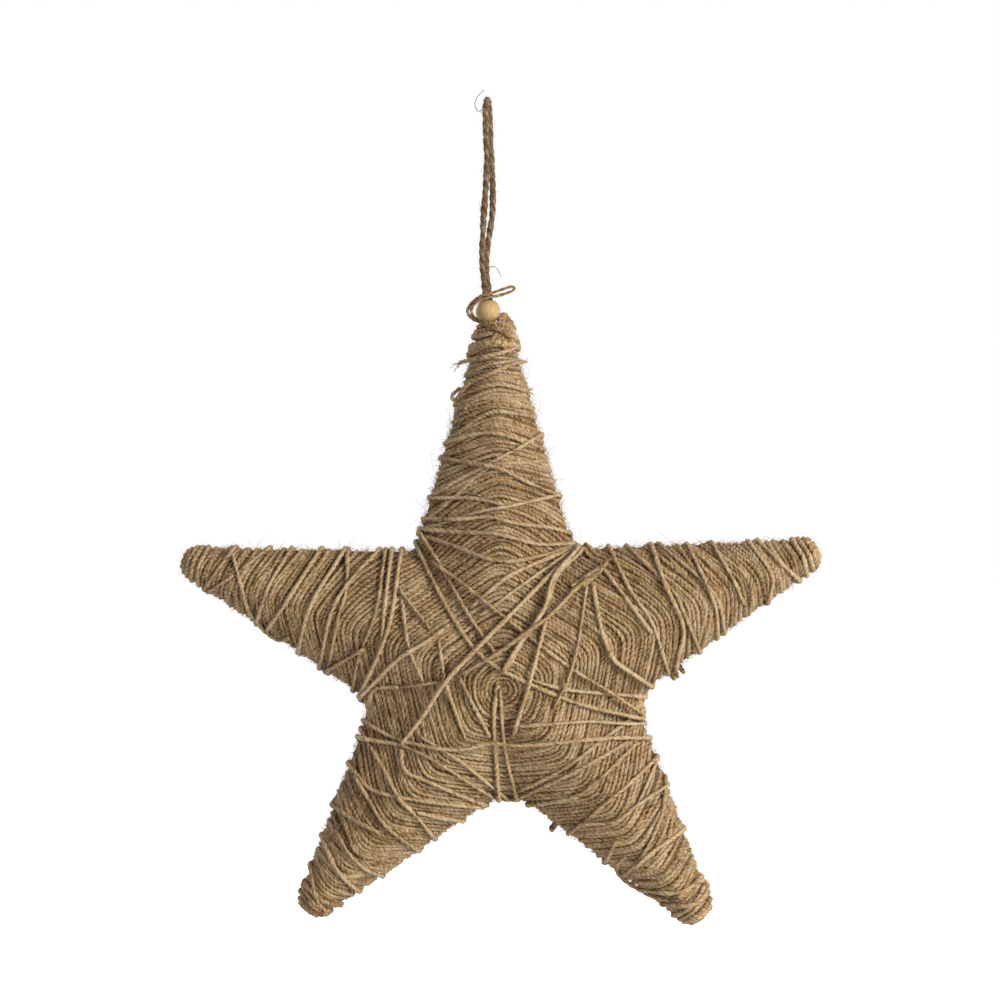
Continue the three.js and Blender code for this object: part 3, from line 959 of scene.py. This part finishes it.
class STAR_OT_stage(bpy.types.Operator):
    """Sets the camera, the soft light and the pale floor"""

    bl_idname = "jute_star.stage"
    bl_label = "Stage"

    def execute(self, context):
        scene = context.scene
        studio = scene.jute_star_studio
        view_middle = Vector((6.0 * MM, 0, -190.9 * MM))
        lens = bpy.data.cameras.new("camera")
        lens.sensor_width = 36.0
        lens.lens = lens.sensor_width * studio.distance / studio.view_width
        lens.clip_end = 50
        camera = bpy.data.objects.new("camera", lens)
        camera.location = view_middle - Vector((0, studio.distance, 0))
        camera.rotation_euler = (math.radians(90), 0, 0)
        scene.collection.objects.link(camera)
        scene.camera = camera
        scene.view_settings.view_transform = "Standard"

        star_middle = Vector((HUB_X * MM, 0, HUB_Z * MM))
        self.soft_light(scene, "side_light", star_middle, (1.2, -1.05, 0.5), 0.7, studio.key_power)
        self.soft_light(scene, "back_light", star_middle, (-1.1, 1.3, 0.6), 0.9, studio.back_power)
        self.surroundings(scene, studio.fill)
        self.floor(scene, studio.floor_drop)
        return {"FINISHED"}

    def soft_light(self, scene, name, target, offset, size, power):
        """A large square light aimed at the star."""
        lamp = bpy.data.lights.new(name, "AREA")
        lamp.shape, lamp.size, lamp.energy = "SQUARE", size, power
        light = bpy.data.objects.new(name, lamp)
        light.location = target + Vector(offset)
        light.rotation_euler = Vector(offset).to_track_quat("Z", "Y").to_euler()
        scene.collection.objects.link(light)

    def surroundings(self, scene, fill):
        """A white studio all round, which lights the star less than it shows."""
        world = bpy.data.worlds.new("white_studio")
        world.use_nodes = True
        scene.world = world
        tree = world.node_tree
        shown = tree.nodes["Background"]
        shown.inputs["Color"].default_value = (1, 1, 1, 1)
        lighting = add_node(tree, "ShaderNodeBackground", {"Color": (1, 1, 1, 1), "Strength": fill})
        seen = add_node(tree, "ShaderNodeLightPath").outputs["Is Camera Ray"]
        both = add_node(tree, "ShaderNodeMixShader", {0: seen, 1: lighting.outputs[0], 2: shown.outputs[0]})
        tree.links.new(both.outputs[0], tree.nodes["World Output"].inputs["Surface"])

    def floor(self, scene, drop):
        """A wide pale floor well below the star."""
        reach = 12.0
        sheet = bpy.data.meshes.new("floor")
        corners = [(x * reach, y * reach, -drop) for x, y in ((-1, -1), (1, -1), (1, 1), (-1, 1))]
        sheet.from_pydata(corners, [], [(0, 1, 2, 3)])
        floor = bpy.data.objects.new("floor", sheet)
        material, tree, shader = new_material("white_floor", 0.9)
        place = object_place(tree)
        mottle = noise_of(tree, place, 6.0, 3.0)
        colour = ramp(tree, mottle, ((0.0, (0.88, 0.88, 0.88)), (1.0, (0.92, 0.92, 0.92))))
        tree.links.new(colour, shader["Base Color"])
        shader["Emission Color"].default_value = (1, 1, 1, 1)
        seen = add_node(tree, "ShaderNodeLightPath").outputs["Is Camera Ray"]
        tree.links.new(math_node(tree, "MULTIPLY", seen, 0.75), shader["Emission Strength"])
        sheet.materials.append(material)
        scene.collection.objects.link(floor)


class STAR_OT_hanging_loop(bpy.types.Operator):
    """Makes the hanging loop of twisted jute cord"""

    bl_idname = "jute_star.hanging_loop"
    bl_label = "Hanging loop"

    def execute(self, context):
        loop = context.scene.jute_star_loop
        twine = context.scene.jute_star_twine
        # The cord's finish has stronger painted shade in the grooves between its plies.
        finish = jute_finish("twisted_jute_cord", twine.dark, loop.middle, shade_of(twine.pale, 0.52), 0.4)
        route = smooth_route(loop_route(), 1.5 * MM)
        cord = twisted(
            "jute_loop", [(route, False, 0.5, 1.0)], finish, 1.12 * loop.thickness, -loop.lay, 0.6 * MM,
            plies=3, ply_depth=0.2, sides=18)
        fit(cord, "jute_cord", "hanging_loop")
        return {"FINISHED"}


class STAR_OT_bead(bpy.types.Operator):
    """Finishes the turned wooden bead on the loop"""

    bl_idname = "jute_star.bead"
    bl_label = "Wooden bead"

    def execute(self, context):
        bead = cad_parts["wooden_bead"]
        bead.data.materials.clear()
        bead.data.materials.append(bead_finish())
        return {"FINISHED"}


class STAR_OT_under_layer(bpy.types.Operator):
    """Makes the deeper layers of twine, which show only in the gaps of the winding"""

    bl_idname = "jute_star.under_layer"
    bl_label = "Under layer"

    def execute(self, context):
        thickness = context.scene.jute_star_twine.thickness
        skin = star_skin(-0.44 * thickness)
        for vert, normal in [(vert, vert.normal.copy()) for vert in skin.verts]:
            vert.co += normal * (RIM_FILL * thickness * rim_share(vert.co))
        mesh = bpy.data.meshes.new("under_layer")
        skin.to_mesh(mesh)
        skin.free()
        mesh.shade_smooth()
        mesh.materials.append(shaded_under_finish())
        layer = bpy.data.objects.new("under_layer", mesh)
        context.scene.collection.objects.link(layer)
        fit(layer, "jute_twine", "star_body")
        return {"FINISHED"}


class STAR_OT_winding(bpy.types.Operator):
    """Winds the star: rounds over the hub's two faces, and turns about each arm"""

    bl_idname = "jute_star.winding"
    bl_label = "Winding"

    def execute(self, context):
        twine = context.scene.jute_star_twine
        draw = random.Random(twine.seed)
        shell = Shell(-0.45 * twine.thickness)
        arms = star_arms()
        groups = {}
        for level in winding_levels(twine.pitch / MM, draw):
            crossings = {}
            for place, arm in enumerate(arms):
                if shell.height(*turn_point(arm, level, 0.0)) is not None:
                    crossings[place] = turn_across(arm, level, shell)
            for used, route in closed_turns(crossings):
                if len(route) < 5:
                    continue
                places = {place for _, place in used}
                faces = {face for face, _ in used}
                if len(places) == 1:
                    name = "winding_" + arms[used[0][1]].name
                else:
                    name = HUB_PIECES[tuple(sorted(faces))]
                groups.setdefault(name, []).append((route, True, draw.random(), draw.uniform(0.88, 1.12)))
        higher = Shell(-0.2 * twine.thickness)
        for arm in arms:
            strands = groups["winding_" + arm.name]
            fat = Shell(TIP_GROWTH[arm.name] * twine.thickness)
            for _ in range(OVER_TURNS):
                level = draw.uniform(96, arm.reach - 10)
                skew = draw.choice((-1, 1)) * draw.uniform(4, 17)
                route = whole_turn(arm, level, higher, skew)
                strands.append((route, True, draw.uniform(0.3, 1.1), draw.uniform(0.85, 1.1)))
            for ring in range(TIP_RINGS[arm.name]):
                level = arm.reach - 0.45 - 0.85 * ring - 0.28 * min(ring, 4) ** 2
                route = whole_turn(arm, level, fat, draw.uniform(-3, 3) * min(ring, 4))
                strands.append((route, True, draw.random(), draw.uniform(1.1, 1.35)))
        for number in range(HUB_OVER_TURNS):
            arm = arms[number % len(arms)]
            level = draw.uniform(18, 78)
            skew = draw.choice((-1, 1)) * draw.uniform(2, 9)
            points, _ = turn_across(arm, level, higher, skew)
            face = 1 if number % 3 else -1
            route = [in_part(a, face * out, up) for a, out, up in tucked(points, twine.thickness / MM)]
            strand = (without_doubles(route, False), False, draw.uniform(0.3, 1.1), draw.uniform(0.85, 1.1))
            groups[HUB_PIECES[(face,)]].append(strand)
        for name, strands in groups.items():
            step, sides = (1.15 * MM, 5) if name == HUB_PIECES[(-1,)] else (1.0 * MM, 6)
            piece = twisted(name, strands, twine_finish(), twine.thickness, twine.lay, step,
                            ply_depth=0.32, sides=sides, shell=shell)
            fit(piece, "jute_twine")
        return {"FINISHED"}


class WrapLayer:
    """Lays taut twine over one face of the star, each length over those before it."""

    def __init__(self, shell, thickness):
        self.shell = shell
        self.thickness = thickness
        self.laid = {}

    def cell(self, across, up):
        return int(across // 4), int(up // 4)

    def lay(self, line, rims):
        """Heights of a taut length of twine along a line, with each end at the rim or tucked in."""
        lowest = []
        for spot in line:
            height = self.shell.height(*spot) or 0.0
            column, row = self.cell(*spot)
            for key in [(column + i, row + j) for i in (-1, 0, 1) for j in (-1, 0, 1)]:
                for other, top in self.laid.get(key, ()):
                    gap = (other - spot).length
                    if gap < self.thickness:
                        height = max(height, top + 0.85 * math.sqrt(self.thickness ** 2 - gap ** 2))
            lowest.append(height)
        for end, rim in zip((0, -1), rims):
            lowest[end] = 0.0 if rim else max(0.0, (self.shell.height(*line[end]) or 0.0) - self.thickness)
        heights = pulled_taut(lowest)
        for spot, height in zip(line, heights):
            self.laid.setdefault(self.cell(*spot), []).append((spot, height))
        return heights


def pulled_taut(lowest, pull=0.85):
    """Heights of a stretched line over even stations that it can't go below."""
    tops = []
    for station, height in enumerate(lowest):
        while len(tops) > 1:
            (x0, h0), (x1, h1) = tops[-2:]
            if (h1 - h0) * (station - x0) > (height - h0) * (x1 - x0):
                break
            tops.pop()
        tops.append((station, height))
    taut = []
    for (x0, h0), (x1, h1) in zip(tops, tops[1:]):
        taut += [h0 + (h1 - h0) * (x - x0) / (x1 - x0) for x in range(x0, x1)]
    taut.append(lowest[-1])
    return [low + pull * (high - low) for low, high in zip(lowest, taut)]


def run_to_rim(line, shell, most=8.0):
    """Adds to the end of a line up to the rim, if the rim is near; gives whether it is."""
    step = (line[-1] - line[-2]).normalized() * 0.5
    spot, added = line[-1].copy(), []
    while len(added) * 0.5 < most:
        if shell.height(*spot) is None:
            line += added[:-1]
            return True
        spot = spot + step
        added.append(spot.copy())
    return False


def trimmed(line, shell):
    """The part of a line that lies inside the outline."""
    inside = [spot for spot in line if shell.height(*spot) is not None]
    return inside if len(inside) > 3 else line


def front_wraps(layer):
    """Every crossing wrap of the front: its line, its heights and which of its ends are at the rim."""
    wraps = []
    for area in WRAPS.values():
        for points in area:
            line = smooth_route([Vector(point) for point in points], 1.2)
            line = trimmed(line, layer.shell)
            end_rim = run_to_rim(line, layer.shell)
            line.reverse()
            start_rim = run_to_rim(line, layer.shell)
            line.reverse()
            line = even_steps(line, 1.2)
            rims = (start_rim, end_rim)
            wraps.append((line, layer.lay(line, rims), rims))
    return wraps


def even_steps(line, step):
    """The same line with its points at even distances."""
    lengths = [0.0]
    for start, end in zip(line, line[1:]):
        lengths.append(lengths[-1] + (end - start).length)
    count = max(3, round(lengths[-1] / step))
    even, i = [], 0
    for k in range(count + 1):
        want = lengths[-1] * k / count
        while i < len(line) - 2 and lengths[i + 1] < want:
            i += 1
        span = max(1e-9, lengths[i + 1] - lengths[i])
        even.append(line[i].lerp(line[i + 1], (want - lengths[i]) / span))
    return even


def stays_inside(start, end, shell):
    """Whether the straight line between two points of the rim stays inside the outline."""
    return all(shell.height(*start.lerp(end, share / 20)) is not None for share in range(1, 20))


def back_links(wraps, layer, shell, draw):
    """Pairs the rim ends of the front wraps, each joined by a length of twine across the back."""
    ends = [(k, end) for k, (_, _, rims) in enumerate(wraps) for end in (0, 1) if rims[end]]
    draw.shuffle(ends)
    links = {}
    for key in ends:
        if key in links:
            continue
        line = wraps[key[0]][0]
        start, inner = (line[0], line[2]) if key[1] == 0 else (line[-1], line[-3])
        outward = (start - inner).normalized()
        normal = shell.rim_normal(*start)
        onward = outward - 2 * outward.dot(normal) * normal
        best, found = 0.2, None
        for other in ends:
            if other in links or other[0] == key[0]:
                continue
            far = wraps[other[0]][0][0 if other[1] == 0 else -1]
            span = (far - start).length
            if not 25 < span < 190:
                continue
            score = (far - start).normalized().dot(onward)
            if score > best and stays_inside(start, far, shell):
                best, found = score, other
        if found is None:
            continue
        far = wraps[found[0]][0][0 if found[1] == 0 else -1]
        line = even_steps([start, start.lerp(far, 0.5), far], 1.2)
        heights = layer.lay(line, (True, True))
        links[key] = (found, line, heights)
        links[found] = (key, line[::-1], heights[::-1])
    return links


def wrap_chains(wraps, links, draw):
    """Joins front wraps and back links into long runs of twine."""
    unused = set(range(len(wraps)))
    chains = []
    for first in range(len(wraps)):
        if first not in unused:
            continue
        k, end = first, 1
        for _ in wraps:
            if (k, end) not in links or links[(k, end)][0][0] == first:
                break
            k, entered = links[(k, end)][0]
            end = 1 - entered
        leave = 1 - end
        route, tones = [], []
        while k in unused:
            unused.remove(k)
            line, heights, _ = wraps[k]
            order = 1 if leave == 1 else -1
            # A random tone, lighter than the winding's: partly painted light on the front wraps, which stand
            # proud of the winding.
            tone = draw.uniform(0.75, 1.3)
            stretch = [in_part(spot.x, height, spot.y) for spot, height in zip(line, heights)][::order]
            route += stretch
            tones += [tone] * len(stretch)
            if (k, leave) not in links:
                break
            (k, entered), line, heights = links[(k, leave)]
            stretch = [in_part(spot.x, -height, spot.y) for spot, height in zip(line, heights)]
            route += stretch
            # A random tone for the lengths across the back, lower than that of the front wraps, which carry
            # painted light.
            tones += [draw.uniform(0.5, 1.0)] * len(stretch)
            leave = 1 - entered
        chains.append((route, tones))
    return chains


def thinned(route, tones, least):
    """A route and its tones without points closer than least to the one kept before."""
    kept, shades = [route[0]], [tones[0]]
    for point, tone in zip(route[1:], tones[1:]):
        if (point - kept[-1]).length > least:
            kept.append(point)
            shades.append(tone)
    return kept, shades


class STAR_OT_wraps(bpy.types.Operator):
    """Lays the taut wraps that cross over the winding, round the rim and over the back"""

    bl_idname = "jute_star.wraps"
    bl_label = "Crossing wraps"

    def execute(self, context):
        twine = context.scene.jute_star_twine
        draw = random.Random(twine.seed + 1)
        thickness = twine.wrap_thickness / MM
        shell = Shell(0.35 * twine.wrap_thickness)
        wraps = front_wraps(WrapLayer(shell, thickness))
        links = back_links(wraps, WrapLayer(shell, thickness), shell, draw)
        groups, lengths = [[], []], [0.0, 0.0]
        for route, tones in wrap_chains(wraps, links, draw):
            route, tones = thinned(route, tones, 0.6 * MM)
            if len(route) < 4:
                continue
            light = lengths.index(min(lengths))
            groups[light].append((route, False, tones, draw.uniform(0.85, 1.18)))
            lengths[light] += sum((b - a).length for a, b in zip(route, route[1:]))
        for number, strands in enumerate(groups, 1):
            piece = twisted(
                f"crossing_wraps_{number}", strands, twine_finish(), twine.wrap_thickness, twine.lay * 1.4,
                1.0 * MM, ply_depth=0.26, sides=6, shell=shell)
            fit(piece, "jute_twine")
        return {"FINISHED"}


def frayed(end, direction, thickness, draw, count=9):
    """Thin fibres that spread from the end of a strand."""
    strands = []
    for _ in range(count):
        spread = Vector((draw.gauss(0, 1), draw.gauss(0, 1), draw.gauss(0, 1)))
        length = draw.uniform(2.0, 4.5) * MM
        start = end - direction * 1.5 * MM + spread * (0.12 * thickness)
        middle = end + direction * (0.4 * length) + spread * (0.10 * length)
        tip = end + direction * length + spread * (0.28 * length)
        strands.append(([start, middle, tip], False, draw.random(), draw.uniform(0.10, 0.2)))
    return strands


class STAR_OT_loose_ends(bpy.types.Operator):
    """Adds the loose loops, the frayed ends and the tail that is turned round the bead"""

    bl_idname = "jute_star.loose_ends"
    bl_label = "Loose ends"

    def execute(self, context):
        twine = context.scene.jute_star_twine
        draw = random.Random(twine.seed + 2)
        shell = Shell(0.35 * twine.thickness)
        strands = []
        for name, points in LOOSE_ENDS.items():
            route = [in_part(a, (shell.height(a, up) or 0.0) + lift, up) for a, up, lift in points]
            route = smooth_route(route, 1.2 * MM)
            tone, girth = draw.uniform(0.4, 0.9), draw.uniform(0.95, 1.08)
            if name.startswith("tip_hump"):
                tone, girth = tone - 0.75, girth * 1.2
            strands.append((route, False, tone, girth))
            if name in FRAYED_ENDS:
                strands += frayed(route[-1], (route[-1] - route[-3]).normalized(), twine.thickness, draw)
        tail = smooth_route([Vector(point) * MM for point in BEAD_TAIL], 1.2 * MM)
        strands.append((tail, False, -0.2, 0.7))
        for curl in LOOP_CURLS:
            route = smooth_route([Vector(point) * MM for point in curl], 1.2 * MM)
            strands.append((route, False, -1.5, 0.15))
        piece = twisted("loose_ends", strands, twine_finish(), twine.thickness, twine.lay * 1.5, 0.7 * MM,
                        ply_depth=0.25, sides=8)
        fit(piece, "jute_twine")
        return {"FINISHED"}


class STAR_OT_fuzz(bpy.types.Operator):
    """Grows the loose hairs of the jute on the star and on the loop"""

    bl_idname = "jute_star.fuzz"
    bl_label = "Hairs"

    def execute(self, context):
        fuzz = context.scene.jute_star_fuzz
        finish = hair_finish()
        rim = self.skin_part(-0.66, 0.66)
        front = self.skin_part(-1.0, 0.2)
        back = self.skin_part(0.2, 1.0)
        cord = bpy.data.objects["jute_loop"].data.copy()
        for number, (name, mesh, share, longer, lean, bends, slot) in enumerate((
                ("front_hairs", front, 2.0, 1.0, 1.05, 2, "jute_twine"),
                ("back_hairs", back, 0.5, 1.0, 0.8, 2, "jute_twine"),
                ("rim_hairs", rim, 3.2, 0.6, 0.55, 2, "jute_twine"),
                ("long_hairs", front.copy(), 0.22, 1.9, 1.1, 4, "jute_twine"),
                ("loop_hairs", cord, 2.6, 0.6, 0.55, 3, "jute_cord"))):
            piece = grown(mesh, name, shared_tree("Jute hairs", hair_tree), {
                "Density": fuzz.hairs * 1e4 * share, "Length": fuzz.hair_length * longer,
                "Thickness": fuzz.hair_thickness, "Lean": lean, "Bends": bends,
                "Seed": fuzz.seed + 10 * number, "Finish": finish})
            fit(piece, slot)
        return {"FINISHED"}

    def skin_part(self, low, high):
        """The faces of the star's skin that look front to back between two limits, as a mesh."""
        skin = star_skin(0.3 * MM)
        others = [face for face in skin.faces if not low <= face.normal.y <= high]
        bmesh.ops.delete(skin, geom=others, context="FACES")
        part = bpy.data.meshes.new("skin_part")
        skin.to_mesh(part)
        skin.free()
        return part


MAKERS = (
    STAR_OT_stage, STAR_OT_hanging_loop, STAR_OT_bead, STAR_OT_under_layer, STAR_OT_winding, STAR_OT_wraps,
    STAR_OT_loose_ends, STAR_OT_fuzz,
)
SETTINGS = {
    "jute_star_twine": JuteStarTwine,
    "jute_star_loop": JuteStarLoop,
    "jute_star_fuzz": JuteStarFuzz,
    "jute_star_studio": JuteStarStudio,
}


class STAR_PT_panel(bpy.types.Panel):
    """Lists the star's settings and makers."""

    bl_label = "Jute Star"
    bl_idname = "STAR_PT_panel"
    bl_space_type = "VIEW_3D"
    bl_region_type = "UI"
    bl_category = "Jute Star"

    def draw(self, context):
        for label, group in SETTINGS.items():
            box = self.layout.box()
            for key in group.__annotations__:
                box.prop(getattr(context.scene, label), key)
        for maker in MAKERS:
            self.layout.operator(maker.bl_idname)


def register():
    """Registers the settings, the makers and the panel."""
    for made in (*SETTINGS.values(), *MAKERS, STAR_PT_panel):
        bpy.utils.register_class(made)
    for label, group in SETTINGS.items():
        setattr(bpy.types.Scene, label, PointerProperty(type=group))


def unregister():
    """Takes it all back out."""
    for label in SETTINGS:
        delattr(bpy.types.Scene, label)
    for made in (STAR_PT_panel, *reversed(MAKERS), *reversed(SETTINGS.values())):
        bpy.utils.unregister_class(made)


def main():
    """Makes every piece in order."""
    register()
    for maker in MAKERS:
        group, call = maker.bl_idname.split(".")
        getattr(getattr(bpy.ops, group), call)()


if __name__ == "__main__":
    main()
